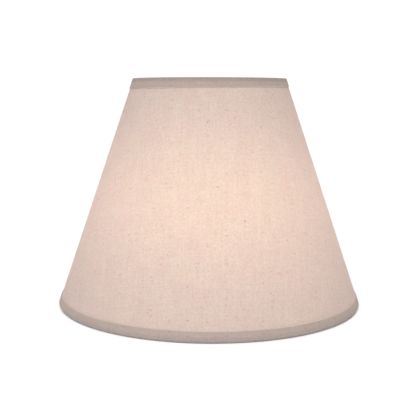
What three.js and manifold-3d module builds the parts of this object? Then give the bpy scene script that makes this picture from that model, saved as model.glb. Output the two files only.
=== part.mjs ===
// Hardback empire lamp shade on a wire frame with a three-arm spider fitter.
//
// A sheet of styrene faced with linen is rolled into a cone and overlapped at the back. Two wire
// rings hold it round at the top and bottom, and a folded linen tape is wrapped over each ring.
// Three bent wires run from the top ring to a washer, which a lamp's harp and finial clamp.
//
// Millimetres, +Z up. The origin is on the shade's axis, in the plane that its bottom edge rests on.
// The seam is at the back, on +Y. Turns about the axis are counted from the seam, in radians.

import * as THREE from 'three';
import { mergeVertices } from 'three/addons/utils/BufferGeometryUtils.js';
import Module from 'manifold-3d';

// Overall size: the ring diameters are taken over the wire, as shades are sold.
const TOP_DIAMETER = 152.4;
const BOTTOM_DIAMETER = 304.8;
const HEIGHT = 228.6;

// Wire frame.
const RING_WIRE = 3.2;
const ARM_WIRE = 2.8;
const ARM_COUNT = 3;
const FIRST_ARM_TURN = Math.PI / 3;
const WASHER_DROP = 12.7;
const WASHER_DIAMETER = 25.4;
const WASHER_HOLE = 11.2;
const WASHER_THICKNESS = 1.6;
const WASHER_BEVEL = 0.3;
const WELD_GAP = 0.3;
const ARM_LEVEL_STRETCH = 6;
const ARM_CRANK_RUN = 9;
const ARM_BEND = 3;
const ARM_ON_WASHER = 3.5;

// Laminate and tape, as thicknesses from the rings outwards.
const GLUE_LINE = 0.1;
const LINER_THICKNESS = 0.4;
const COVER_THICKNESS = 0.5;
const TRIM_THICKNESS = 0.6;
const SEAM_TAPE_THICKNESS = 0.15;
const SEAM_TAPE_WIDTH = 10;
const SEAM_OVERLAP = 12.7;
const LAMINATE_PAST_RING = 1.4;
const TRIM_OUTER_REACH = 7.4;
const TRIM_INNER_REACH = 5;
const TRIM_MEETS_LINER = 3.6;
const TRIM_JOINT_GAP = 0.4;
const TRIM_ABOVE_TOP_RING = 3.33;
const NOTCH_CLEARANCE = 0.35;

// Fineness of the round stretches: sides of a wire, and turns between sections.
const RING_SIDES = 8;
const ARM_SIDES = 12;
const ARM_STEPS = 28;
const WASHER_SIDES = 48;
const COARSE_TURN = Math.PI / 36;
const FINE_TURN = COARSE_TURN / 2;
const FINE_STEPS = 4;
const TRIM_FACET = Math.PI / 5;
const TRIM_FACETS = 4;

// The seam zone, as turns either side of the seam: the lap is fully raised inside the first and
// back on the cone at the second.
const RAISED_TURN = 2 * FINE_TURN;
const SETTLED_TURN = 3 * COARSE_TURN;

const wireRadius = RING_WIRE / 2;
const topRing = { r: TOP_DIAMETER / 2 - wireRadius, z: HEIGHT - TRIM_ABOVE_TOP_RING };
const bottomRing = {
  r: BOTTOM_DIAMETER / 2 - wireRadius,
  z: wireRadius + GLUE_LINE + TRIM_THICKNESS,
};
const ringRise = topRing.z - bottomRing.z;
const slantLength = Math.hypot(bottomRing.r - topRing.r, ringRise);
const leanSine = (bottomRing.r - topRing.r) / slantLength;
const leanCosine = ringRise / slantLength;
const lean = Math.atan2(leanSine, leanCosine);

// Distances outwards from the straight line that joins the two ring centres.
const linerInside = wireRadius + GLUE_LINE;
const linerOutside = linerInside + LINER_THICKNESS;
const coverInside = linerOutside + GLUE_LINE;
const coverOutside = coverInside + COVER_THICKNESS;
const seamTapeInside = coverOutside + GLUE_LINE;
const seamTapeOutside = seamTapeInside + SEAM_TAPE_THICKNESS;
const lapRise = seamTapeOutside + 1.5 * GLUE_LINE - linerInside;
const washerTop = HEIGHT - WASHER_DROP + WASHER_THICKNESS;

const wasm = await Module();
wasm.setup();

// A point measured from a ring: 'along' runs up or down the slant towards the other ring, 'out' is
// square to the slant. 'raised' marks the points that ride over the lap at the seam.
function slantPoint(ring, along, out, raised) {
  const towards = ring === bottomRing ? 1 : -1;
  return {
    r: ring.r - towards * along * leanSine + out * leanCosine,
    z: ring.z + towards * along * leanCosine + out * leanSine,
    raised,
  };
}

// One section of a strip: 'turn' from the seam, 'shift' in millimetres along the strip from there,
// and how far the section is 'lifted' off the cone.
function column(turn, shift, lifted) {
  return { turn, shift, lifted };
}

// How far the upper layers are lifted, at a turn measured from the seam on the lap's own side.
function lapLift(turnFromSeam) {
  const settled = (turnFromSeam - RAISED_TURN) / (SETTLED_TURN - RAISED_TURN);
  return lapRise * (1 - Math.min(1, Math.max(0, settled)));
}

// Turns round the shade, from just past the seam to just short of it, finer close to it.
function turnsRound() {
  const steps = Math.round((2 * Math.PI) / FINE_TURN);
  const turns = [];
  for (let step = 1; step < steps; step += 1) {
    const nearSeam = Math.min(step, steps - step) < FINE_STEPS;
    if (nearSeam || step % 2 === 0) turns.push(step * FINE_TURN);
  }
  return turns;
}

// Wraps a closed profile round the axis through the given columns. A closed wrap joins its last
// column to its first, and an open one is capped at both ends.
function wrap(profile, columns, closed) {
  const outline = profile.map((point) => new THREE.Vector2(point.r, point.z));
  const points = THREE.ShapeUtils.isClockWise(outline) ? [...profile].reverse() : profile;
  const positions = [];
  for (const section of columns) {
    for (const point of points) {
      const lift = point.raised ? section.lifted : 0;
      const r = point.r + lift * leanCosine;
      const angle = Math.PI / 2 + section.turn + section.shift / r;
      positions.push(r * Math.cos(angle), r * Math.sin(angle), point.z + lift * leanSine);
    }
  }

  const indices = [];
  const spans = closed ? columns.length : columns.length - 1;
  for (let span = 0; span < spans; span += 1) {
    const here = span * points.length;
    const next = ((span + 1) % columns.length) * points.length;
    for (let i = 0; i < points.length; i += 1) {
      const j = (i + 1) % points.length;
      indices.push(here + i, next + i, here + j, here + j, next + i, next + j);
    }
  }
  if (!closed) {
    const section = points.map((point) => new THREE.Vector2(point.r, point.z));
    const cap = THREE.ShapeUtils.triangulateShape(section, []);
    const last = (columns.length - 1) * points.length;
    for (const [a, b, c] of cap) indices.push(a, b, c, last + c, last + b, last + a);
  }

  const geometry = new THREE.BufferGeometry();
  geometry.setAttribute('position', new THREE.Float32BufferAttribute(positions, 3));
  geometry.setIndex(indices);
  geometry.computeVertexNormals();
  return geometry;
}

function toManifold(geometry) {
  const bare = geometry.clone();
  bare.deleteAttribute('normal');
  bare.deleteAttribute('uv');
  const merged = mergeVertices(bare);
  return new wasm.Manifold(new wasm.Mesh({
    numProp: 3,
    vertProperties: new Float32Array(merged.attributes.position.array),
    triVerts: new Uint32Array(merged.index.array),
  }));
}

function fromManifold(solid) {
  const mesh = solid.getMesh();
  const geometry = new THREE.BufferGeometry();
  geometry.setAttribute('position', new THREE.BufferAttribute(mesh.vertProperties, 3));
  geometry.setIndex(new THREE.BufferAttribute(mesh.triVerts, 1));
  geometry.computeVertexNormals();
  return geometry;
}

// A wire hoop.
function ringGeometry(ring) {
  const profile = [];
  for (let side = 0; side < RING_SIDES; side += 1) {
    const angle = (side / RING_SIDES) * 2 * Math.PI;
    profile.push({
      r: ring.r + wireRadius * Math.cos(angle),
      z: ring.z + wireRadius * Math.sin(angle),
      raised: false,
    });
  }
  const columns = [0, ...turnsRound()].map((turn) => column(turn, 0, 0));
  return wrap(profile, columns, true);
}

// A layer of the laminate, from its lower end under the seam once round to its upper end on top.
function laminateGeometry(inside, outside) {
  const profile = [
    slantPoint(bottomRing, -LAMINATE_PAST_RING, inside, true),
    slantPoint(bottomRing, -LAMINATE_PAST_RING, outside, true),
    slantPoint(topRing, -LAMINATE_PAST_RING, outside, true),
    slantPoint(topRing, -LAMINATE_PAST_RING, inside, true),
  ];
  const turns = turnsRound();
  const columns = [column(0, -SEAM_OVERLAP / 2, 0), column(0, 0, 0)];
  for (const turn of turns) columns.push(column(turn, 0, lapLift(2 * Math.PI - turn)));
  columns.push(column(2 * Math.PI, 0, lapRise));
  columns.push(column(2 * Math.PI, SEAM_OVERLAP / 2, lapRise));
  return wrap(profile, columns, false);
}

// The double-sided strip that holds the two ends of the laminate together.
function seamTapeGeometry() {
  const endMargin = TRIM_OUTER_REACH;
  const profile = [
    slantPoint(bottomRing, endMargin, seamTapeInside, false),
    slantPoint(bottomRing, endMargin, seamTapeOutside, false),
    slantPoint(topRing, endMargin, seamTapeOutside, false),
    slantPoint(topRing, endMargin, seamTapeInside, false),
  ];
  const columns = [-1, 0, 1].map((side) => column(0, (side * SEAM_TAPE_WIDTH) / 2, 0));
  return wrap(profile, columns, false);
}

// One face of the folded tape, as a path from its outer edge, over the end of the laminate and
// round the ring, to its inner edge. 'clear' is its distance from what it wraps.
function trimPath(ring, clear) {
  const endOut = coverOutside;
  const endAlong = -LAMINATE_PAST_RING;
  const path = [slantPoint(ring, TRIM_OUTER_REACH, endOut + clear, true)];

  // Round the outer corner of the laminate, to the flat across its end.
  const cornerStart = Math.PI / 2;
  const cornerEnd =
    Math.atan2(endOut, endAlong) + Math.acos(wireRadius / Math.hypot(endAlong, endOut));
  for (const share of [0, 0.5, 1]) {
    const angle = cornerStart + share * (cornerEnd - cornerStart);
    path.push(slantPoint(
      ring, endAlong + clear * Math.cos(angle), endOut + clear * Math.sin(angle), true));
  }

  // Round the wire, with one facet that lies level under the bottom ring.
  const facetRadius = (wireRadius + clear) / Math.cos(TRIM_FACET / 2);
  for (let facet = 0; facet <= TRIM_FACETS; facet += 1) {
    const angle = Math.PI + lean + (facet - 0.5) * TRIM_FACET;
    path.push(slantPoint(ring, facetRadius * Math.cos(angle), facetRadius * Math.sin(angle), false));
  }

  // Back onto the inside of the liner.
  const legOut = linerInside - clear;
  const legAlong = TRIM_MEETS_LINER + clear / 2;
  path.push(slantPoint(ring, legAlong, legOut, false));
  path.push(slantPoint(ring, TRIM_INNER_REACH, legOut, false));
  return path;
}

// A length of folded tape round one ring, its ends butted at the seam.
function trimGeometry(ring) {
  const exposed = trimPath(ring, GLUE_LINE + TRIM_THICKNESS);
  const glued = trimPath(ring, GLUE_LINE);
  const columns = [column(0, TRIM_JOINT_GAP / 2, lapRise)];
  for (const turn of turnsRound()) {
    columns.push(column(turn, 0, Math.max(lapLift(turn), lapLift(2 * Math.PI - turn))));
  }
  columns.push(column(2 * Math.PI, -TRIM_JOINT_GAP / 2, lapRise));
  return wrap([...exposed, ...glued.reverse()], columns, false);
}

function armTurn(index) {
  return FIRST_ARM_TURN + (index * 2 * Math.PI) / ARM_COUNT;
}

// The snip in the top tape that lets one arm through to the ring: a round opening for the wire, and
// a slot from there to the tape's inner edge.
function notchSolid(index) {
  const halfWidth = ARM_WIRE / 2 + NOTCH_CLEARANCE;
  const depth = 2 * RING_WIRE;
  const openingEnd = 0.5;
  const slotOut = linerOutside;
  const slotStart = -ARM_WIRE / 4;
  const slotLength = TRIM_INNER_REACH + 1 - slotStart;

  const opening = new THREE.CylinderGeometry(halfWidth, halfWidth, depth, ARM_SIDES);
  opening.rotateZ(Math.PI / 2);
  opening.translate(-openingEnd - depth / 2, 0, 0);
  const slot = new THREE.BoxGeometry(depth, 2 * halfWidth, slotLength);
  slot.translate(slotOut - depth / 2, 0, -slotStart - slotLength / 2);
  slot.rotateY(-lean);
  const solids = [opening, slot].map((geometry) => {
    geometry.translate(topRing.r, 0, topRing.z);
    geometry.rotateZ(Math.PI / 2 + armTurn(index));
    return toManifold(geometry);
  });
  return solids[0].add(solids[1]);
}

function topTrimGeometry() {
  let trim = toManifold(trimGeometry(topRing));
  for (let index = 0; index < ARM_COUNT; index += 1) {
    trim = trim.subtract(notchSolid(index));
  }
  return fromManifold(trim);
}

function washerGeometry() {
  const hole = WASHER_HOLE / 2;
  const rim = WASHER_DIAMETER / 2;
  const bottom = washerTop - WASHER_THICKNESS;
  const profile = [
    [hole, bottom + WASHER_BEVEL],
    [hole + WASHER_BEVEL, bottom],
    [rim - WASHER_BEVEL, bottom],
    [rim, bottom + WASHER_BEVEL],
    [rim, washerTop - WASHER_BEVEL],
    [rim - WASHER_BEVEL, washerTop],
    [hole + WASHER_BEVEL, washerTop],
    [hole, washerTop - WASHER_BEVEL],
  ].map(([r, z]) => ({ r, z, raised: false }));
  const columns = [];
  for (let side = 0; side < WASHER_SIDES; side += 1) {
    columns.push(column((side / WASHER_SIDES) * 2 * Math.PI, 0, 0));
  }
  return wrap(profile, columns, true);
}

// The centre line of one arm: level off the ring, cranked down, then level out to the washer.
function armPath(turn) {
  const outer = topRing.r - wireRadius - WELD_GAP;
  const low = washerTop + WELD_GAP + ARM_WIRE / 2;
  const weldedEnd = WASHER_DIAMETER / 2 - ARM_ON_WASHER;
  const crankStart = outer - ARM_LEVEL_STRETCH;
  const crankEnd = crankStart - ARM_CRANK_RUN;
  const cosine = Math.cos(Math.PI / 2 + turn);
  const sine = Math.sin(Math.PI / 2 + turn);
  const at = (r, z) => new THREE.Vector3(r * cosine, r * sine, z);

  const crank = new THREE.Vector2(crankEnd - crankStart, low - topRing.z).normalize();
  const path = new THREE.CurvePath();
  const upperBend = [
    at(crankStart + ARM_BEND, topRing.z),
    at(crankStart, topRing.z),
    at(crankStart + ARM_BEND * crank.x, topRing.z + ARM_BEND * crank.y),
  ];
  const lowerBend = [
    at(crankEnd - ARM_BEND * crank.x, low - ARM_BEND * crank.y),
    at(crankEnd, low),
    at(crankEnd - ARM_BEND, low),
  ];
  path.add(new THREE.LineCurve3(at(outer, topRing.z), upperBend[0]));
  path.add(new THREE.QuadraticBezierCurve3(...upperBend));
  path.add(new THREE.LineCurve3(upperBend[2], lowerBend[0]));
  path.add(new THREE.QuadraticBezierCurve3(...lowerBend));
  path.add(new THREE.LineCurve3(lowerBend[2], at(weldedEnd, low)));
  return path;
}

function armGeometry(turn) {
  const section = new THREE.Shape();
  for (let side = 0; side < ARM_SIDES; side += 1) {
    const angle = ((side + 0.5) / ARM_SIDES) * 2 * Math.PI;
    const x = (ARM_WIRE / 2) * Math.cos(angle);
    const y = (ARM_WIRE / 2) * Math.sin(angle);
    if (side === 0) section.moveTo(x, y);
    else section.lineTo(x, y);
  }
  section.closePath();
  return new THREE.ExtrudeGeometry(section, {
    steps: ARM_STEPS,
    extrudePath: armPath(turn),
    bevelEnabled: false,
  });
}

function material(color, roughness, metalness) {
  return new THREE.MeshStandardMaterial({ color, roughness, metalness });
}

const shade = new THREE.Group();

function addPart(name, geometry, look) {
  const mesh = new THREE.Mesh(geometry, look);
  mesh.name = name;
  shade.add(mesh);
}

addPart('top_ring', ringGeometry(topRing), material(0xc9c6bd, 0.35, 0.9));
addPart('bottom_ring', ringGeometry(bottomRing), material(0xc9c6bd, 0.35, 0.9));
for (let index = 0; index < ARM_COUNT; index += 1) {
  addPart(`spider_arm_${index + 1}`, armGeometry(armTurn(index)), material(0xc9c6bd, 0.35, 0.9));
}
addPart('spider_washer', washerGeometry(), material(0xc4c1b8, 0.3, 0.95));
addPart('styrene_liner', laminateGeometry(linerInside, linerOutside), material(0xf6f2e8, 0.5, 0));
addPart('fabric_cover', laminateGeometry(coverInside, coverOutside), material(0xeedccb, 0.95, 0));
addPart('seam_tape', seamTapeGeometry(), material(0xe9e2cf, 0.6, 0));
addPart('top_trim', topTrimGeometry(), material(0xbcaa9d, 0.95, 0));
addPart('bottom_trim', trimGeometry(bottomRing), material(0xbcaa9d, 0.95, 0));

export default shade;
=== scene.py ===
"""The looks of a hardback empire lamp shade: linen on a styrene backing, taped over two wire hoops.

Every length is in metres, in the frame of the CAD part: +Z up, the shade's axis on Z, its bottom
edge on z = 0 and its seam at the back, on +Y. Turns about the axis are counted from the seam.
"""

import math

import bpy
from mathutils import Matrix, Vector


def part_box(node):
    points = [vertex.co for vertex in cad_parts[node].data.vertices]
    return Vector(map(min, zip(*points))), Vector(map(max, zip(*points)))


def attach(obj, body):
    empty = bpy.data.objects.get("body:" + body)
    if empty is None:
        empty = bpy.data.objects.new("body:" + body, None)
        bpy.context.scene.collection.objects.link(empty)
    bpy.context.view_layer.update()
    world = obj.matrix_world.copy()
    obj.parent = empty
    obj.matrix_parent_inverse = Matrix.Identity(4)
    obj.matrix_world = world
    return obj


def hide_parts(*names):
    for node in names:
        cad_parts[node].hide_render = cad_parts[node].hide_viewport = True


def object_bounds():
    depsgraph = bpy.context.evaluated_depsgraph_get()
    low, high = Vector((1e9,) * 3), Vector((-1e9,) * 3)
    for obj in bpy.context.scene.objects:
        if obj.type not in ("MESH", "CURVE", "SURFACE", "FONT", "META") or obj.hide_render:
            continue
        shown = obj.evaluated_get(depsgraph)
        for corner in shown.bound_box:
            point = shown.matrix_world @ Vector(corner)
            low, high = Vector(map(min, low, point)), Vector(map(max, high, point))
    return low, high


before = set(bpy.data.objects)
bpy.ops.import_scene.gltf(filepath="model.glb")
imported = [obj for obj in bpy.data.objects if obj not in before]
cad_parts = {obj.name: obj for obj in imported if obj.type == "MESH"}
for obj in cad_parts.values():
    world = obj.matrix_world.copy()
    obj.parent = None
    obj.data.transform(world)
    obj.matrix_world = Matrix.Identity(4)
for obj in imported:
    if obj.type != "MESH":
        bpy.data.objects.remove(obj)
cad_low, cad_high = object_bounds()

MM = 0.001

# The laminate and the tape, as thicknesses from the rings outwards.
GLUE_LINE = 0.1 * MM
LINER_THICKNESS = 0.4 * MM
COVER_THICKNESS = 0.5 * MM
TAPE_THICKNESS = 0.6 * MM
SEAM_OVERLAP = 12.7 * MM
TOP_LAMINATE_END = -1.4 * MM
BOTTOM_LAMINATE_END = -0.1 * MM
LAP_RISE = 1.4 * MM
TAPE_OUTER_REACH = 7.4 * MM
TAPE_INNER_REACH = 5.0 * MM
TAPE_MEETS_LINER = 3.6 * MM
TAPE_JOINT_GAP = 0.3 * MM
TAPE_INNER_STEP = 1.2 * MM
TAPE_CORNER_MARGIN = 0.2 * MM
TAPE_WIRE_LEAD = 0.12
TAPE_EDGE_WANDER = 0.12 * MM
TOP_TAPE_DRIFT = 0.9 * MM
TOP_TAPE_PHASE = 0.4
BOTTOM_TAPE_PHASE = 1.9

# The seam zone, as turns either side of the seam: the lap is fully raised inside the first and
# back on the cone at the second.
RAISED_TURN = math.radians(5)
SETTLED_TURN = math.radians(15)

# Spider.
ARM_WIRE = 2.8 * MM
ARM_LEVEL_STRETCH = 6.0 * MM
ARM_CRANK_RUN = 9.0 * MM
ARM_BEND = 3.0 * MM
WELD_GAP = 0.3 * MM
ARM_ON_WASHER = 3.5 * MM
ARM_INTO_HOOP = 0.6 * MM
HOOP_BEAD = (1.3 * MM, 1.6 * MM, 1.6 * MM)
WASHER_BEAD = (1.9 * MM, 1.9 * MM, 0.9 * MM)
WASHER_BEAD_RISE = 0.5 * MM
NOTCH_CLEARANCE = 0.35 * MM
WASHER_HOLE = 11.2 * MM
WASHER_ROUNDING = 0.35 * MM

# Fineness of the round stretches.
STEPS_ROUND = 360
ROWS_ALONG = 30
HOOP_SIDES = 20
WIRE_SIDES = 20
WASHER_STEPS = 96

# Linen: the pitch of its threads, in millimetres as all the patterns are.
WEAVE_PITCH = 0.62

# How dark a nep is, against a speck of husk.
NEP_STRENGTH = 0.38

# How much of a sheet's light is let through rather than thrown back.
LINEN_THROUGH = 0.42
FILM_THROUGH = 0.5

# How strongly the linen's light and dark threads differ in red, green and blue.
SHADE_BALANCE = (0.82, 1.05, 1.18)

# Camera and light.
EYE_DISTANCE = 0.8216
EYE_HEIGHT = 0.2131
EYE_TILT = math.radians(8.082)
EYE_ROLL = math.radians(0.114)
EYE_TURN = math.radians(1.0)
EYE_SHIFT = 0.0313
LENS = 69.66
BULB_PLACE = (0.003, 0, 0.080)
BULB_RADIUS = 0.030
BULB_WATTS = 0.479
BULB_COLOUR = (1.0, 0.81, 0.70)
GLOW_PLACE = (0, 0, 0.105)
GLOW_AIM = (0, -0.2, 0.1)
GLOW_SIZE = 0.05
GLOW_WATTS = 0.0185
GLOW_COLOUR = (1.0, 0.93, 0.30)
GLOW_SPREAD = math.radians(130)
KEY_PLACE = (-0.06, -1.0, 1.54)
KEY_STRENGTH = 2.37
KEY_ANGLE = math.radians(40)
SIDE_PLACE = (-1.0, -0.1, 0.5)
SIDE_STRENGTH = 0.18
SIDE_ANGLE = math.radians(60)
SIDE_COLOUR = (0.6, 0.78, 1.0)
BACKDROP_STRENGTH = 1.05
WORLD_LIGHT_STRENGTH = 0.40
FLOOR_HALF = 30.0


def ring_of(node, laminate_end, tape_drift=0.0):
    """Where a wire ring's centre line runs, from its CAD node's box; how far along the slant from
    there, towards the other ring, the laminate ends; and how much wider than usual the tape shows
    on the -X side, and narrower on the other."""
    low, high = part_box(node)
    wire = high.z - low.z
    return {
        "r": high.x - wire / 2,
        "z": (low.z + high.z) / 2,
        "wire": wire,
        "end": laminate_end,
        "drift": tape_drift,
    }


TOP = ring_of("top_ring", TOP_LAMINATE_END, TOP_TAPE_DRIFT)
BOTTOM = ring_of("bottom_ring", BOTTOM_LAMINATE_END)
WIRE_RADIUS = TOP["wire"] / 2
RING_RISE = TOP["z"] - BOTTOM["z"]
SLANT = math.hypot(BOTTOM["r"] - TOP["r"], RING_RISE)
LEAN_SINE = (BOTTOM["r"] - TOP["r"]) / SLANT
LEAN_COSINE = RING_RISE / SLANT

# Distances outwards from the straight line that joins the two ring centres.
LINER_INSIDE = WIRE_RADIUS + GLUE_LINE
LINER_OUTSIDE = LINER_INSIDE + LINER_THICKNESS
COVER_INSIDE = LINER_OUTSIDE + GLUE_LINE
COVER_OUTSIDE = COVER_INSIDE + COVER_THICKNESS


# ---------------------------------------------------------------- geometry


def spread(count, start=0.0, end=1.0):
    """count + 1 even steps from start to end."""
    return [start + (end - start) * step / count for step in range(count + 1)]


def smooth(share):
    share = min(1.0, max(0.0, share))
    return share * share * (3 - 2 * share)


def slant_point(ring, along, out):
    """(r, z) of a point measured from a ring: along the slant towards the other ring, and out."""
    towards = 1 if ring is BOTTOM else -1
    return (
        ring["r"] - towards * along * LEAN_SINE + out * LEAN_COSINE,
        ring["z"] + towards * along * LEAN_COSINE + out * LEAN_SINE,
    )


def place(r, z, turn, shift=0.0):
    """A point in the frame: turned from the seam, then shifted a length along the circle."""
    angle = math.pi / 2 + turn + shift / r
    return (r * math.cos(angle), r * math.sin(angle), z)


def lap_lift(turn_from_seam):
    """How far a layer that rides over the lap stands off the cone."""
    settled = (turn_from_seam - RAISED_TURN) / (SETTLED_TURN - RAISED_TURN)
    return LAP_RISE * (1 - smooth(settled))


def make_piece(name, points, faces, sharp_angle=35):
    mesh = bpy.data.meshes.new(name)
    mesh.from_pydata(points, [], faces)
    mesh.shade_smooth()
    mesh.set_sharp_from_angle(angle=math.radians(sharp_angle))
    mesh.validate()
    piece = bpy.data.objects.new(name, mesh)
    bpy.context.scene.collection.objects.link(piece)
    return piece


def strip_faces(columns, rows, closed):
    """Faces of a tube of closed sections. A closed strip meets itself, an open one has end caps."""
    faces = []
    spans = columns if closed else columns - 1
    for span in range(spans):
        here = span * rows
        there = (span + 1) % columns * rows
        for row in range(rows):
            after = (row + 1) % rows
            faces.append((here + row, there + row, there + after, here + after))
    if not closed:
        last = (columns - 1) * rows
        faces.append(tuple(range(rows)))
        faces.append(tuple(reversed(range(last, last + rows))))
    return faces


def section_strip(name, sections, closed):
    """A piece through closed sections of equal point count, each a list of (x, y, z)."""
    points = [point for section in sections for point in section]
    return make_piece(name, points, strip_faces(len(sections), len(sections[0]), closed))


def laminate_section(turn, outer, inner):
    """A layer cut across: outer and inner are (shift, out) there, and rows run up and back down."""
    points = []
    alongs = spread(ROWS_ALONG, BOTTOM["end"], SLANT - TOP["end"])
    for (shift, out), rows in ((outer, alongs), (inner, reversed(alongs))):
        for along in rows:
            points.append(place(*slant_point(BOTTOM, along, out), turn, shift))
    return points


def laminate_sections(inside, outside):
    """Sections from the layer's lower end, under the seam, once round to the end on top of it."""
    start = [(0, shift, 0) for shift in (-SEAM_OVERLAP / 2, -SEAM_OVERLAP / 4)]
    around = [
        (turn, 0, lap_lift(2 * math.pi - turn)) for turn in spread(STEPS_ROUND, 0, 2 * math.pi)
    ]
    end = [(2 * math.pi, shift, LAP_RISE) for shift in (SEAM_OVERLAP / 4, SEAM_OVERLAP / 2)]
    return [
        laminate_section(turn, (shift, outside + lift), (shift, inside + lift))
        for turn, shift, lift in start + around + end
    ]


def liner_sheet():
    sections = laminate_sections(LINER_INSIDE, LINER_OUTSIDE)
    return section_strip("liner_sheet", sections, closed=False)


def linen_cover():
    """The linen, whose upper end is turned down over the cut edge of the liner."""
    sections = laminate_sections(COVER_INSIDE, COVER_OUTSIDE)
    fold_shift = SEAM_OVERLAP / 2 + GLUE_LINE / 2
    fold_out = COVER_INSIDE - GLUE_LINE / 2 + LAP_RISE
    radii = (COVER_THICKNESS + GLUE_LINE / 2, GLUE_LINE / 2)
    for angle in spread(5, 0, math.pi / 2):
        outer, inner = (
            (fold_shift + radius * math.sin(angle), fold_out + radius * math.cos(angle))
            for radius in radii
        )
        sections.append(laminate_section(2 * math.pi, outer, inner))
    hem_end = LINER_INSIDE + LAP_RISE
    outer, inner = ((fold_shift + radius, hem_end) for radius in radii)
    sections.append(laminate_section(2 * math.pi, outer, inner))
    return section_strip("linen_cover", sections, closed=False)


def tape_path(ring, clear, outer_reach):
    """One face of the folded tape in (along, out, raised): from its outer edge, over the end of
    the laminate and round the wire, to its inner edge. clear is its distance from what it wraps."""
    end_along = ring["end"]
    path = [
        (along, COVER_OUTSIDE + clear, True)
        for along in spread(6, outer_reach, end_along + TAPE_CORNER_MARGIN)
    ]

    # Round the outer corner of the laminate.
    tangent = math.acos(WIRE_RADIUS / math.hypot(end_along, COVER_OUTSIDE))
    corner_end = math.atan2(COVER_OUTSIDE, end_along) + tangent
    for angle in spread(6, math.pi / 2, corner_end):
        path.append((
            end_along + clear * math.cos(angle),
            COVER_OUTSIDE + clear * math.sin(angle),
            True,
        ))

    # Round the wire, as far as the way back onto the inside of the liner.
    around = WIRE_RADIUS + clear
    leg_out = LINER_INSIDE - clear
    meeting = (TAPE_MEETS_LINER + clear / 2, leg_out)
    off_wire = math.acos(around / math.hypot(*meeting)) if math.hypot(*meeting) > around else 0
    wire_end = 2 * math.pi + math.atan2(meeting[1], meeting[0]) - off_wire
    for angle in spread(22, corner_end + TAPE_WIRE_LEAD, wire_end):
        path.append((around * math.cos(angle), around * math.sin(angle), False))

    path.append((*meeting, False))
    for along in spread(3, TAPE_MEETS_LINER + TAPE_INNER_STEP, TAPE_INNER_REACH):
        path.append((along, leg_out, False))
    return path


def edge_wander(ring, turn, phase):
    """How far a hand-laid edge strays at a turn."""
    waves = math.sin(5 * turn + phase) + 0.6 * math.sin(13 * turn + 2 * phase)
    return TAPE_EDGE_WANDER * waves + ring["drift"] * math.sin(turn)


def tape_section(ring, turn, shift, phase, squeeze):
    """The tape cut across. squeeze thins it, where a cut end is pressed down."""
    reach = TAPE_OUTER_REACH + edge_wander(ring, turn, phase)
    thickness = TAPE_THICKNESS - squeeze
    half = thickness / 2
    exposed = tape_path(ring, GLUE_LINE + thickness, reach)
    glued = tape_path(ring, GLUE_LINE, reach)
    lifted = max(lap_lift(turn), lap_lift(2 * math.pi - turn))

    def edge(end, outward):
        """The round of a folded edge, from the first face to the second."""
        along, out, raised = end
        return [
            (along + half * math.sin(angle), out + outward * half * math.cos(angle), raised)
            for angle in spread(4, math.pi / 4, 3 * math.pi / 4)
        ]

    outer_middle = (reach, COVER_OUTSIDE + GLUE_LINE + half, True)
    inner_middle = (TAPE_INNER_REACH, LINER_INSIDE - GLUE_LINE - half, False)
    outline = [
        *exposed,
        *edge(inner_middle, -1),
        *reversed(glued),
        *reversed(edge(outer_middle, 1)),
    ]
    points = []
    for along, out, raised in outline:
        r, z = slant_point(ring, along, out + (lifted if raised else 0))
        points.append(place(r, max(z, cad_low.z), turn, shift))
    return points


def tape(name, ring, phase):
    """A length of folded tape round one ring, its two ends butted on the seam. ends lists (shift,
    squeeze) from a cut end inwards: the cut end is pressed thin."""
    half_gap = TAPE_JOINT_GAP / 2
    ends = [(half_gap, 0.3 * MM), (half_gap + 0.15 * MM, 0.1 * MM), (half_gap + 0.45 * MM, 0)]
    sections = [tape_section(ring, 0, shift, phase, squeeze) for shift, squeeze in ends]
    for turn in spread(STEPS_ROUND, 0, 2 * math.pi)[1:-1]:
        sections.append(tape_section(ring, turn, 0, phase, 0))
    for shift, squeeze in reversed(ends):
        sections.append(tape_section(ring, 2 * math.pi, -shift, phase, squeeze))
    return section_strip(name, sections, closed=False)


ARM_NODES = sorted(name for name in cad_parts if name.startswith("spider_arm"))


def arm_turns():
    """The turns from the seam at which the arms stand, from their CAD nodes."""
    turns = []
    for node in ARM_NODES:
        low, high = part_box(node)
        middle = (low + high) / 2
        turns.append(math.atan2(middle.y, middle.x) - math.pi / 2)
    return turns


def notch_cutter(turn):
    """The snip in the tape that lets one arm through: a slot with a round end at the wire."""
    half_width = ARM_WIRE / 2 + NOTCH_CLEARANCE
    slot_length = TAPE_INNER_REACH + 2 * MM
    outline = [
        (half_width * math.cos(angle), half_width * math.sin(angle))
        for angle in spread(12, 0, math.pi)
    ]
    outline += [(-half_width, -slot_length), (half_width, -slot_length)]
    sections = []
    for depth in (LINER_OUTSIDE, -3 * WIRE_RADIUS):
        section = []
        for across, down in outline:
            r, z = slant_point(TOP, -down, depth)
            section.append(place(r, z, turn, across))
        sections.append(section)
    return section_strip("cutter", sections, closed=False)


def cut(piece, cutters):
    """Cuts the cutters out of a piece and removes them."""
    for cutter in cutters:
        modifier = piece.modifiers.new("cut", "BOOLEAN")
        modifier.operation = "DIFFERENCE"
        modifier.solver = "EXACT"
        modifier.object = cutter
    graph = bpy.context.evaluated_depsgraph_get()
    result = bpy.data.meshes.new_from_object(piece.evaluated_get(graph))
    piece.modifiers.clear()
    piece.data = result
    for cutter in cutters:
        bpy.data.objects.remove(cutter)


def hoop(name, ring):
    sections = []
    for turn in spread(STEPS_ROUND // 2, 0, 2 * math.pi)[:-1]:
        section = []
        for angle in spread(HOOP_SIDES, 0, 2 * math.pi)[:-1]:
            r = ring["r"] + WIRE_RADIUS * math.cos(angle)
            z = ring["z"] + WIRE_RADIUS * math.sin(angle)
            section.append(place(r, z, turn))
        sections.append(section)
    return section_strip(name, sections, closed=True)


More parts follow.
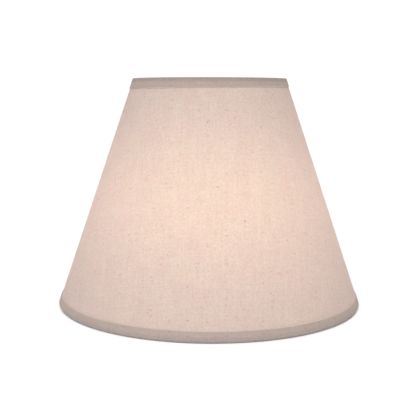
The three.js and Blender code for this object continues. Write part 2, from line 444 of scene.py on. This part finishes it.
def arm_line():
    """The centre line of an arm as (r, z, heading): level, cranked down, then level again."""
    low_z = WASHER_TOP + WELD_GAP + ARM_WIRE / 2
    outer = TOP["r"] - WIRE_RADIUS + ARM_INTO_HOOP
    crank_start = TOP["r"] - WIRE_RADIUS - WELD_GAP - ARM_LEVEL_STRETCH
    crank_end = crank_start - ARM_CRANK_RUN
    inner = WASHER_RADIUS - ARM_ON_WASHER
    corners = [
        Vector((outer, TOP["z"])),
        Vector((crank_start, TOP["z"])),
        Vector((crank_end, low_z)),
        Vector((inner, low_z)),
    ]
    line = [corners[0]]
    for before, corner, after in zip(corners, corners[1:], corners[2:]):
        into = (corner - before).normalized()
        away = (after - corner).normalized()
        for share in spread(8):
            start = corner - into * ARM_BEND * (1 - share)
            end = corner + away * ARM_BEND * share
            line.append(start.lerp(end, share))
    line.append(corners[-1])
    return line


def bead(centre, radii, turn):
    """A weld bead as a strip of its own: a slightly lumpy ellipsoid, (r, across, z) radii."""
    sections = []
    for tilt in spread(10, 0.12, math.pi - 0.12):
        section = []
        for angle in spread(14, 0, 2 * math.pi)[:-1]:
            lump = 1 + 0.06 * math.sin(3 * angle + 5 * tilt)
            r = centre[0] + radii[0] * math.cos(tilt)
            across = radii[1] * math.sin(tilt) * math.cos(angle) * lump
            z = centre[1] + radii[2] * math.sin(tilt) * math.sin(angle) * lump
            section.append(place(r, z, turn, across))
        sections.append(section)
    return sections


def spider_wire(name, turn):
    """One arm, with the beads that weld it to the hoop and to the washer."""
    line = arm_line()
    x = math.cos(math.pi / 2 + turn)
    y = math.sin(math.pi / 2 + turn)
    sections = []
    for index, point in enumerate(line):
        ahead = line[min(index + 1, len(line) - 1)] - line[max(index - 1, 0)]
        normal = Vector((-ahead.y, ahead.x)).normalized()
        section = []
        for angle in spread(WIRE_SIDES, 0, 2 * math.pi)[:-1]:
            offset = normal * (ARM_WIRE / 2) * math.cos(angle)
            across = ARM_WIRE / 2 * math.sin(angle)
            r = point.x + offset.x
            section.append((r * x - across * y, r * y + across * x, point.y + offset.y))
        sections.append(section)
    washer_weld = (WASHER_RADIUS - ARM_ON_WASHER / 2, WASHER_TOP + WASHER_BEAD_RISE)
    strips = [
        sections,
        bead((TOP["r"] - WIRE_RADIUS, TOP["z"]), HOOP_BEAD, turn),
        bead(washer_weld, WASHER_BEAD, turn),
    ]
    points = []
    faces = []
    for strip in strips:
        start = len(points)
        points += [point for section in strip for point in section]
        for face in strip_faces(len(strip), len(strip[0]), closed=False):
            faces.append(tuple(start + corner for corner in face))
    return make_piece(name, points, faces)


def fitter_washer():
    """The washer, its edges rounded as a press leaves them."""
    low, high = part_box("spider_washer")
    hole = WASHER_HOLE / 2
    corners = [
        (WASHER_RADIUS - WASHER_ROUNDING, high.z - WASHER_ROUNDING, 0),
        (hole + WASHER_ROUNDING, high.z - WASHER_ROUNDING, math.pi / 2),
        (hole + WASHER_ROUNDING, low.z + WASHER_ROUNDING, math.pi),
        (WASHER_RADIUS - WASHER_ROUNDING, low.z + WASHER_ROUNDING, 3 * math.pi / 2),
    ]
    outline = []
    for r, z, first in corners:
        for angle in spread(4, first, first + math.pi / 2):
            outline.append((
                r + WASHER_ROUNDING * math.cos(angle),
                z + WASHER_ROUNDING * math.sin(angle),
            ))
    sections = [
        [place(r, z, turn) for r, z in outline]
        for turn in spread(WASHER_STEPS, 0, 2 * math.pi)[:-1]
    ]
    return section_strip("fitter_washer", sections, closed=True)


# ---------------------------------------------------------------- materials


class Nodes:
    """A material's node tree, with a short way to add each kind of node used here."""

    def __init__(self, name):
        self.material = bpy.data.materials.new(name)
        self.material.use_nodes = True
        self.tree = self.material.node_tree
        self.tree.nodes.clear()

    def add(self, kind, inputs=(), **settings):
        """A new node. inputs maps a socket's name or number to a value or another socket."""
        node = self.tree.nodes.new(kind)
        for name, value in settings.items():
            setattr(node, name, value)
        for socket, value in dict(inputs).items():
            if isinstance(value, bpy.types.NodeSocket):
                self.tree.links.new(value, node.inputs[socket])
            else:
                node.inputs[socket].default_value = value
        return node

    def math(self, operation, *values):
        return self.add("ShaderNodeMath", enumerate(values), operation=operation).outputs[0]

    def noise(self, vector, scale, detail=2.0, roughness=0.5):
        inputs = {"Vector": vector, "Scale": scale, "Detail": detail, "Roughness": roughness}
        return self.add("ShaderNodeTexNoise", inputs).outputs["Fac"]

    def vector(self, x, y, z):
        return self.add("ShaderNodeCombineXYZ", enumerate((x, y, z))).outputs[0]

    def remap(self, value, low, high, to_low=0.0, to_high=1.0):
        """value from low..high to to_low..to_high, held at the ends."""
        inputs = enumerate((value, low, high, to_low, to_high))
        return self.add("ShaderNodeMapRange", inputs).outputs[0]

    def blend(self, share, first, second, mode="MIX"):
        """Two colours mixed by share, in one of the Mix node's modes."""
        inputs = {0: share, 6: first, 7: second}
        node = self.add("ShaderNodeMix", inputs, data_type="RGBA", blend_type=mode)
        return node.outputs[2]

    def bump(self, height, distance, strength=1.0, under=None):
        inputs = {"Height": height, "Distance": distance, "Strength": strength}
        if under is not None:
            inputs["Normal"] = under
        return self.add("ShaderNodeBump", inputs).outputs[0]

    def finish(self, shader):
        output = self.add("ShaderNodeOutputMaterial")
        self.tree.links.new(shader.outputs[0], output.inputs["Surface"])
        return self.material


def colour(red, green, blue):
    return (red, green, blue, 1.0)


def cone_coordinates(nodes):
    """Sockets in millimetres, from the object's own coordinates: the radius, the height, and the
    azimuth in radians from the front, which runs on past half a turn on top of the lap."""
    position = nodes.add("ShaderNodeTexCoord").outputs["Object"]
    scaled = nodes.add("ShaderNodeVectorMath", {0: position, "Scale": 1 / MM}, operation="SCALE")
    split = nodes.add("ShaderNodeSeparateXYZ", {0: scaled.outputs[0]}).outputs
    x, y, z = split[0], split[1], split[2]
    radius = nodes.math("SQRT", nodes.math("ADD", nodes.math("MULTIPLY", x, x),
                                           nodes.math("MULTIPLY", y, y)))
    azimuth = nodes.math("ARCTAN2", x, nodes.math("MULTIPLY", y, -1.0))
    lap_end = -SEAM_OVERLAP / 2 / MM - 1.0
    behind = nodes.math("GREATER_THAN", y, 0.0)
    past_seam = nodes.math("LESS_THAN", x, 0.0)
    on_lap = nodes.math("GREATER_THAN", x, lap_end)
    lapped = nodes.math("MULTIPLY", nodes.math("MULTIPLY", behind, past_seam), on_lap)
    azimuth = nodes.math("MULTIPLY_ADD", lapped, 2 * math.pi, azimuth)
    return {"x": x, "z": z, "radius": radius, "azimuth": azimuth}


def cover_grain(nodes, cone):
    """(u, v) on the flat sector of linen that the cone was rolled from, v up at the front."""
    slant = nodes.math("DIVIDE", cone["radius"], LEAN_SINE)
    swing = nodes.math("MULTIPLY", cone["azimuth"], LEAN_SINE)
    u = nodes.math("MULTIPLY", slant, nodes.math("SINE", swing))
    v = nodes.math("MULTIPLY", slant, nodes.math("COSINE", swing))
    return u, v


def tape_grain(nodes, cone, ring):
    """(u, v) on a tape: u along it, round the ring, and v across it, from the wire's centre."""
    towards = 1 if ring is BOTTOM else -1
    wire_centre = (ring["z"] * LEAN_COSINE - ring["r"] * LEAN_SINE) / MM
    u = nodes.math("MULTIPLY", cone["azimuth"], ring["r"] / MM)
    inwards = nodes.math("MULTIPLY_ADD", cone["radius"], -LEAN_SINE, -wire_centre)
    from_wire = nodes.math("MULTIPLY_ADD", cone["z"], LEAN_COSINE, inwards)
    return u, nodes.math("MULTIPLY", from_wire, towards)


def weave_height(nodes, u, v, pitch):
    """The height of a plain weave, 0 to 1: threads that pass over and under each other."""
    wander = nodes.noise(nodes.vector(u, v, 0.0), 0.35)
    wave_u = nodes.math("SINE", nodes.math("MULTIPLY_ADD", wander, 1.6,
                                           nodes.math("MULTIPLY", u, math.pi / pitch)))
    wave_v = nodes.math("SINE", nodes.math("MULTIPLY_ADD", wander, 1.6,
                                           nodes.math("MULTIPLY", v, math.pi / pitch)))
    over = nodes.math("MULTIPLY_ADD", nodes.math("MULTIPLY", wave_u, wave_v), 0.5, 0.5)
    warp = nodes.math("MULTIPLY", nodes.math("ABSOLUTE", wave_u), over)
    weft = nodes.math("MULTIPLY", nodes.math("ABSOLUTE", wave_v), nodes.math("SUBTRACT", 1.0, over))
    return nodes.math("ADD", warp, weft)


def streaks(nodes, u, v, depth):
    """Uneven yarn: noise drawn out along u, about 1 mm thick and a few centimetres long."""
    drawn = nodes.vector(nodes.math("MULTIPLY", u, 0.045), v, depth)
    return nodes.noise(drawn, 0.95, detail=2.0, roughness=0.6)


def specks(nodes, u, v, spacing, share, size):
    """Bits of plant husk in the yarn, drawn out along u. 1 is a dark speck, and about share of the
    cells of the spacing hold one."""
    bend = nodes.noise(nodes.vector(u, v, spacing), 0.9)
    along = nodes.math("MULTIPLY", nodes.math("MULTIPLY_ADD", bend, 1.4, u), 0.6)
    across = nodes.math("MULTIPLY_ADD", bend, 0.8, v)
    cells = nodes.add(
        "ShaderNodeTexVoronoi",
        {"Vector": nodes.vector(along, across, 0.0), "Scale": 1 / spacing},
        voronoi_dimensions="2D",
    )
    draws = nodes.add("ShaderNodeSeparateColor", {0: cells.outputs["Color"]}).outputs
    radius = nodes.remap(draws[0], 1 - share, 1.0, 0.0, size / spacing)
    gap = nodes.math("SUBTRACT", radius, cells.outputs["Distance"])
    shape = nodes.remap(gap, 0.0, 0.5 * size / spacing)
    return nodes.math("MULTIPLY", shape, nodes.remap(draws[1], 0.0, 1.0, 0.25, 1.0))


def linen_detail(nodes, u, v, pitch):
    """What the cloth looks like close to, whatever its colour, with its grain along u and v:
    shade, how much lighter or darker it is, around 0; husk, where dark specks of husk and fainter
    neps are; height, for the relief; and patch, a slow drift from 0 to 1."""
    threads = weave_height(nodes, u, v, pitch)
    grain = nodes.noise(nodes.vector(u, v, 2.0), 0.45, detail=3.0, roughness=0.7)
    cloud = nodes.noise(nodes.vector(u, v, 4.0), 0.15, detail=2.0)
    patch = nodes.noise(nodes.vector(u, v, 1.0), 0.045, detail=4.0, roughness=0.75)
    weft = streaks(nodes, u, v, 3.0)
    warp = streaks(nodes, v, u, 9.0)
    shade = 0.0
    for source, strength in ((grain, 0.40), (cloud, 0.08), (weft, 0.14), (warp, 0.14)):
        shade = nodes.math("MULTIPLY_ADD", nodes.math("SUBTRACT", source, 0.5), strength, shade)
    shade = nodes.math("SUBTRACT", shade, nodes.remap(threads, 0.0, 0.5, 0.05, 0.0))
    husk = nodes.math("MAXIMUM", specks(nodes, u, v, spacing=10.0, share=0.28, size=0.80),
                      specks(nodes, v, u, spacing=6.5, share=0.22, size=0.55))
    neps = specks(nodes, u, v, spacing=5.0, share=0.5, size=1.2)
    husk = nodes.math("MAXIMUM", husk, nodes.math("MULTIPLY", neps, NEP_STRENGTH))
    thick = nodes.math("MAXIMUM", nodes.remap(weft, 0.55, 0.75), nodes.remap(warp, 0.55, 0.75))
    height = nodes.math("MULTIPLY_ADD", thick, 0.8, threads)
    drift = nodes.remap(patch, 0.35, 0.65)
    return {"shade": shade, "husk": husk, "height": height, "patch": drift}


def linen_tint(nodes, detail, cool, warm, husk_colour):
    """The cloth's colour: it drifts from cool to warm, its shading is near grey, and its husk
    shows."""
    plain = nodes.blend(detail["patch"], cool, warm)
    balance = {0: detail["shade"], 1: SHADE_BALANCE, 2: (1, 1, 1)}
    light = nodes.add("ShaderNodeVectorMath", balance, operation="MULTIPLY_ADD").outputs[0]
    lit = nodes.blend(1.0, plain, light, mode="MULTIPLY")
    return nodes.blend(nodes.math("MULTIPLY", detail["husk"], 0.7), lit, husk_colour)


def cover_material():
    """Linen lit from both sides: it reflects like cloth and lets the lamp glow through."""
    nodes = Nodes("linen_lit")
    u, v = cover_grain(nodes, cone_coordinates(nodes))
    detail = linen_detail(nodes, u, v, WEAVE_PITCH)
    tint = linen_tint(nodes, detail, colour(0.685, 0.556, 0.532), colour(0.683, 0.580, 0.538),
                      colour(0.235, 0.150, 0.110))
    glow = linen_tint(nodes, detail, colour(0.836, 0.789, 0.769), colour(0.834, 0.811, 0.766),
                      colour(0.42, 0.33, 0.27))
    face = nodes.add("ShaderNodeBsdfPrincipled", {
        "Base Color": tint,
        "Roughness": nodes.remap(detail["height"], 0.0, 1.2, 0.95, 0.78),
        "Normal": nodes.bump(detail["height"], 0.12 * MM, 0.6),
        "Specular IOR Level": 0.25,
        "Sheen Weight": 0.12,
        "Sheen Roughness": 0.5,
    })
    through = nodes.add("ShaderNodeBsdfTranslucent", {"Color": glow})
    both = nodes.add("ShaderNodeMixShader",
                     {0: LINEN_THROUGH, 1: face.outputs[0], 2: through.outputs[0]})
    return nodes.finish(both)


def tape_material(name, ring, painted_shade_over_wire, painted_lighting_at_rim):
    """The same linen folded over the hoop, opaque, with a painted highlight along its thin folded edge,
    as if lamp light came through the fold. The last two arguments multiply its colour over the wire and
    on the very rim: painted shade over the wire, where no lamp light comes through from behind, and at
    the rim painted shade on the top tape and painted light on the bottom one, lifting the shade the
    floor casts under it."""
    nodes = Nodes(name)
    cone = cone_coordinates(nodes)
    u, v = tape_grain(nodes, cone, ring)
    detail = linen_detail(nodes, u, v, WEAVE_PITCH)
    tint = linen_tint(nodes, detail, colour(0.412, 0.322, 0.284), colour(0.436, 0.340, 0.290),
                      colour(0.20, 0.14, 0.11))

    # v is in millimetres from the wire's centre, and below 0 towards the rim. Painted shade: over the
    # wire, where no lamp light would come through the tape from behind, its colour is made greyer and
    # darker; the very rim is painted darker on the top tape and lighter on the bottom one, as painted
    # light on the underside that the floor shades.
    backing = nodes.blend(nodes.remap(v, 0.8, 3.2), painted_shade_over_wire, colour(1.0, 1.0, 1.0))
    backing = nodes.blend(nodes.remap(v, -1.0, 0.3), painted_lighting_at_rim, backing)
    tint = nodes.blend(1.0, tint, backing, mode="MULTIPLY")

    # A painted highlight, as if lamp light came through the thin fold, follows the tape's edge, which
    # drifts from one side to the other.
    sideways = nodes.math("DIVIDE", cone["x"], cone["radius"])
    edge = nodes.math("MULTIPLY_ADD", sideways, -ring["drift"] / MM, TAPE_OUTER_REACH / MM)
    past_edge = nodes.math("SUBTRACT", v, edge)
    tint = nodes.blend(nodes.remap(past_edge, -0.2, 0.1, 0.0, 0.6), tint,
                       colour(0.80, 0.68, 0.60))
    face = nodes.add("ShaderNodeBsdfPrincipled", {
        "Base Color": tint,
        "Roughness": nodes.remap(detail["height"], 0.0, 1.2, 0.95, 0.80),
        "Normal": nodes.bump(detail["height"], 0.14 * MM, 0.7),
        "Specular IOR Level": 0.25,
        "Sheen Weight": 0.10,
        "Sheen Roughness": 0.5,
    })
    return nodes.finish(face)


def styrene_material():
    """Satin white sheet, with the linen's weave showing faintly through it."""
    nodes = Nodes("styrene")
    cone = cone_coordinates(nodes)
    u, v = cover_grain(nodes, cone)
    cloud = nodes.noise(nodes.vector(u, v, 4.0), 0.05, detail=3.0)
    grain = nodes.noise(nodes.vector(u, v, 6.0), 1.6, detail=3.0)
    tint = nodes.blend(nodes.remap(cloud, 0.3, 0.7), colour(0.86, 0.83, 0.77), colour(0.89, 0.87, 0.82))
    ghost = nodes.remap(weave_height(nodes, u, v, WEAVE_PITCH), 0.0, 1.0, 0.16, 0.0)
    tint = nodes.blend(ghost, tint, colour(0.74, 0.68, 0.60))
    face = nodes.add("ShaderNodeBsdfPrincipled", {
        "Base Color": tint,
        "Roughness": nodes.remap(grain, 0.3, 0.7, 0.38, 0.52),
        "Normal": nodes.bump(grain, 0.02 * MM, 0.4),
        "Specular IOR Level": 0.5,
    })
    through = nodes.add("ShaderNodeBsdfTranslucent", {"Color": tint})
    both = nodes.add("ShaderNodeMixShader",
                     {0: FILM_THROUGH, 1: face.outputs[0], 2: through.outputs[0]})
    return nodes.finish(both)


def adhesive_material():
    """The film of the double-sided strip, with small trapped bubbles."""
    nodes = Nodes("adhesive")
    position = nodes.add("ShaderNodeTexCoord").outputs["Object"]
    bubbles = nodes.noise(position, 900.0, detail=2.0)
    tint = nodes.blend(nodes.remap(bubbles, 0.45, 0.6), colour(0.70, 0.62, 0.44),
                       colour(0.80, 0.73, 0.56))
    face = nodes.add("ShaderNodeBsdfPrincipled", {
        "Base Color": tint,
        "Roughness": nodes.remap(bubbles, 0.4, 0.6, 0.25, 0.45),
        "Normal": nodes.bump(bubbles, 0.02 * MM, 0.5),
    })
    through = nodes.add("ShaderNodeBsdfTranslucent", {"Color": tint})
    both = nodes.add("ShaderNodeMixShader",
                     {0: FILM_THROUGH, 1: face.outputs[0], 2: through.outputs[0]})
    return nodes.finish(both)


def plated_material(name, base, dull, scratch_scale):
    """Zinc-plated steel: cloudy in the plating, with fine draw marks and a duller film."""
    nodes = Nodes(name)
    position = nodes.add("ShaderNodeTexCoord").outputs["Object"]
    cloud = nodes.noise(position, 160.0, detail=4.0, roughness=0.6)
    stretched = nodes.add("ShaderNodeMapping", {0: position, "Scale": scratch_scale}).outputs[0]
    marks = nodes.noise(stretched, 1400.0, detail=3.0)
    tint = nodes.blend(nodes.remap(cloud, 0.35, 0.65), base, dull)
    roughness = nodes.math("ADD", nodes.remap(cloud, 0.3, 0.7, 0.24, 0.40),
                           nodes.remap(marks, 0.4, 0.6, 0.0, 0.08))
    face = nodes.add("ShaderNodeBsdfPrincipled", {
        "Base Color": tint,
        "Metallic": 1.0,
        "Roughness": roughness,
        "Normal": nodes.bump(marks, 0.01 * MM, 0.5),
    })
    return nodes.finish(face)


def floor_material():
    nodes = Nodes("studio_floor")
    position = nodes.add("ShaderNodeTexCoord").outputs["Object"]
    fine = nodes.noise(position, 40.0, detail=2.0)
    face = nodes.add("ShaderNodeBsdfPrincipled", {
        "Base Color": colour(1.0, 1.0, 1.0),
        "Roughness": nodes.remap(fine, 0.3, 0.7, 0.85, 0.95),
        "Specular IOR Level": 0.0,
    })
    return nodes.finish(face)


# ---------------------------------------------------------------- the pieces

washer_low, washer_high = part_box("spider_washer")
WASHER_RADIUS = washer_high.x
WASHER_TOP = washer_high.z


def dress(piece, material, slot, *nodes):
    """Gives a piece its material and ties it to the CAD nodes that it stands for."""
    piece.data.materials.clear()
    piece.data.materials.append(material)
    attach(piece, "root")
    if nodes:
        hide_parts(*nodes)
    return piece


cover = dress(linen_cover(), cover_material(), "linen", "fabric_cover")
liner = dress(liner_sheet(), styrene_material(), "styrene", "styrene_liner")

top_tape = tape("top_tape", TOP, TOP_TAPE_PHASE)
cut(top_tape, [notch_cutter(turn) for turn in arm_turns()])
# The top tape's painted shade over the wire and on its rim.
top_linen = tape_material("linen_tape_top", TOP, colour(0.81, 0.83, 0.86),
                          colour(0.79, 0.81, 0.84))
dress(top_tape, top_linen, "trim_linen", "top_trim")
bottom_tape = tape("bottom_tape", BOTTOM, BOTTOM_TAPE_PHASE)
# The bottom tape's painted shade over the wire, and painted light on its rim against the floor's
# shadow.
bottom_linen = tape_material("linen_tape_bottom", BOTTOM, colour(0.84, 0.90, 0.96),
                             colour(0.98, 1.05, 1.12))
dress(bottom_tape, bottom_linen, "trim_linen", "bottom_trim")

wire = plated_material("plated_wire", colour(0.60, 0.58, 0.54), colour(0.48, 0.46, 0.43), (1, 1, 6))
dress(hoop("top_hoop", TOP), wire, "wire", "top_ring")
dress(hoop("bottom_hoop", BOTTOM), wire, "wire", "bottom_ring")
for number, (node, turn) in enumerate(zip(ARM_NODES, arm_turns()), start=1):
    dress(spider_wire(f"spider_wire_{number}", turn), wire, "wire", node)
pressed = plated_material("plated_washer", colour(0.62, 0.60, 0.55), colour(0.50, 0.48, 0.44),
                          (5, 1, 1))
dress(fitter_washer(), pressed, "washer_steel", "spider_washer")

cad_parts["seam_tape"].data.materials.clear()
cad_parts["seam_tape"].data.materials.append(adhesive_material())


# ---------------------------------------------------------------- stage, camera, light


def make_floor():
    half = FLOOR_HALF
    points = [(-half, -half, 0), (half, -half, 0), (half, half, 0), (-half, half, 0)]
    floor = make_piece("floor", points, [(0, 1, 2, 3)])
    floor.data.materials.append(floor_material())


def make_camera():
    """A little below the top rim, tilted down, and turned slightly aside."""
    data = bpy.data.cameras.new("camera")
    data.lens = LENS
    data.shift_x = EYE_SHIFT
    camera = bpy.data.objects.new("camera", data)
    camera.location = (0, -EYE_DISTANCE, EYE_HEIGHT)
    turn = Matrix.Rotation(EYE_TURN, 3, "Z")
    tilt = Matrix.Rotation(math.pi / 2 - EYE_TILT, 3, "X")
    roll = Matrix.Rotation(EYE_ROLL, 3, "Z")
    camera.rotation_euler = (turn @ tilt @ roll).to_euler()
    bpy.context.scene.collection.objects.link(camera)
    bpy.context.scene.camera = camera


def make_light(name, kind, location, aim=None, **settings):
    data = bpy.data.lights.new(name, kind)
    for setting, value in settings.items():
        setattr(data, setting, value)
    light = bpy.data.objects.new(name, data)
    light.location = location
    if aim is not None:
        towards = Vector(aim) - Vector(location)
        light.rotation_euler = towards.to_track_quat("-Z", "Y").to_euler()
    light.visible_camera = False
    bpy.context.scene.collection.objects.link(light)
    return light


def make_world():
    """White to the camera, and a dimmer, slightly cool white as a light."""
    world = bpy.data.worlds.new("studio")
    world.use_nodes = True
    nodes = world.node_tree.nodes
    links = world.node_tree.links
    nodes.clear()
    seen = nodes.new("ShaderNodeBackground")
    seen.inputs["Color"].default_value = colour(1.0, 1.0, 1.0)
    seen.inputs["Strength"].default_value = BACKDROP_STRENGTH
    lit = nodes.new("ShaderNodeBackground")
    lit.inputs["Color"].default_value = colour(0.97, 0.98, 1.0)
    lit.inputs["Strength"].default_value = WORLD_LIGHT_STRENGTH
    rays = nodes.new("ShaderNodeLightPath")
    mix = nodes.new("ShaderNodeMixShader")
    output = nodes.new("ShaderNodeOutputWorld")
    links.new(rays.outputs["Is Camera Ray"], mix.inputs[0])
    links.new(lit.outputs[0], mix.inputs[1])
    links.new(seen.outputs[0], mix.inputs[2])
    links.new(mix.outputs[0], output.inputs["Surface"])
    bpy.context.scene.world = world


def let_lamp_through(lamp, piece):
    """The bulb's light isn't stopped by the piece, which would only blur it a little."""
    passed = bpy.data.collections.new("lets_lamp_through")
    passed.objects.link(piece)
    passed.collection_objects[0].light_linking.link_state = "EXCLUDE"
    lamp.light_linking.blocker_collection = passed


make_floor()
make_camera()
make_world()
shade_middle = (0, 0, cad_high.z / 2)
make_light("key", "SUN", KEY_PLACE, shade_middle, energy=KEY_STRENGTH, angle=KEY_ANGLE)
make_light("side", "SUN", SIDE_PLACE, shade_middle, energy=SIDE_STRENGTH, angle=SIDE_ANGLE,
           color=SIDE_COLOUR)
bulb = make_light("bulb", "POINT", BULB_PLACE, energy=BULB_WATTS,
                  shadow_soft_size=BULB_RADIUS, color=BULB_COLOUR)
let_lamp_through(bulb, liner)
hot_side = make_light("bulb_front", "AREA", GLOW_PLACE, GLOW_AIM, shape="DISK", size=GLOW_SIZE,
                      energy=GLOW_WATTS, color=GLOW_COLOUR, spread=GLOW_SPREAD)
let_lamp_through(hot_side, liner)
bpy.context.scene.view_settings.view_transform = "Standard"
